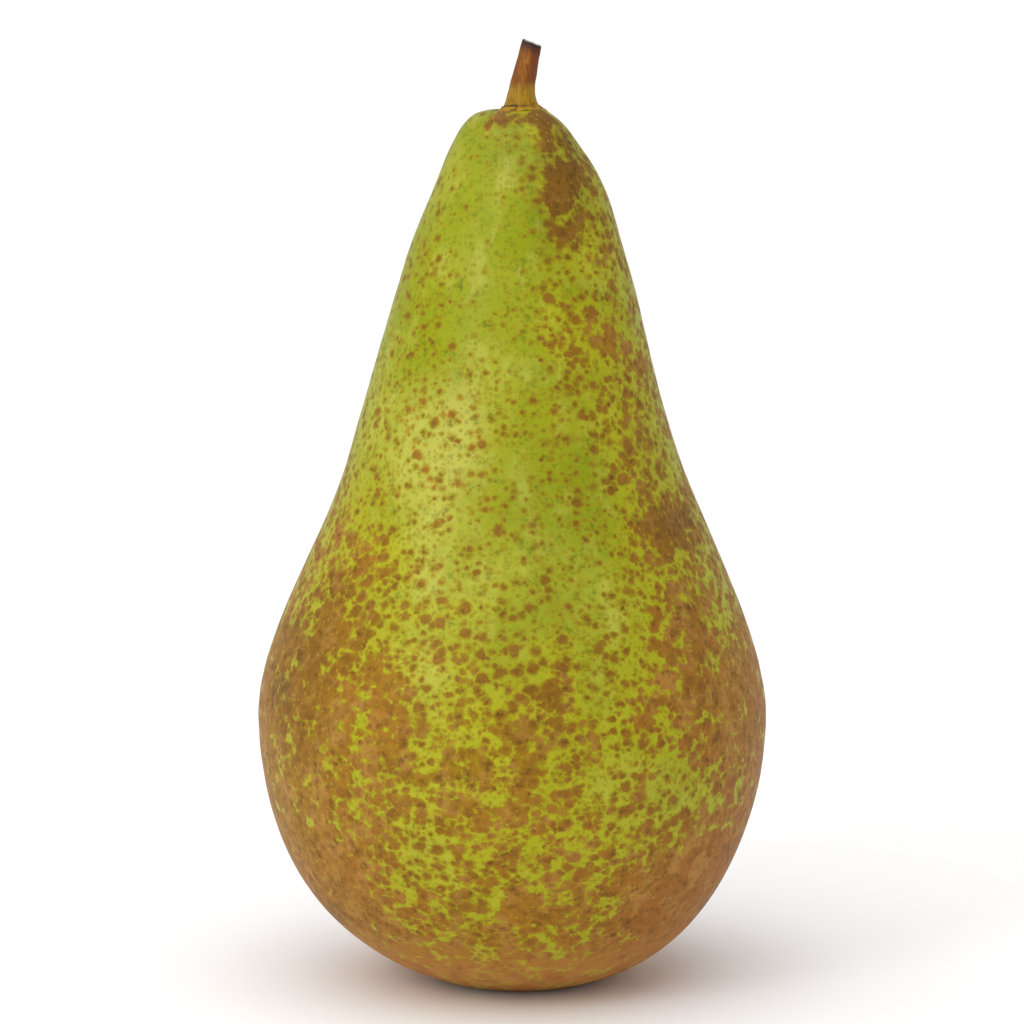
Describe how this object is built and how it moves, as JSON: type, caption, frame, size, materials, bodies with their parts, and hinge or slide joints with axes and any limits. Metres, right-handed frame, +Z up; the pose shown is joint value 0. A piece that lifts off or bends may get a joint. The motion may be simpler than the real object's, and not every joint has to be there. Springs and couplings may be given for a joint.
{
  "type": "pear",
  "caption": "Whole russeted pear with its woody stalk and dried calyx, standing upright on the ring of skin round its blossom end.",
  "frame": {"origin": "Under the middle of the fruit, on the surface that it stands on.", "axes": "+Z up along the fruit, from blossom end to stalk; the pictured side faces -Y, with +X to the right in the picture."},
  "size_m": [0.062, 0.062, 0.1146],
  "materials": {
    "skin": "satin",
    "stalk": "matte",
    "calyx": "matte"
  },
  "bodies": {
    "root": {"fruit": "skin", "stem": "stalk", "calyx": "calyx"}
  },
  "joints": []
}
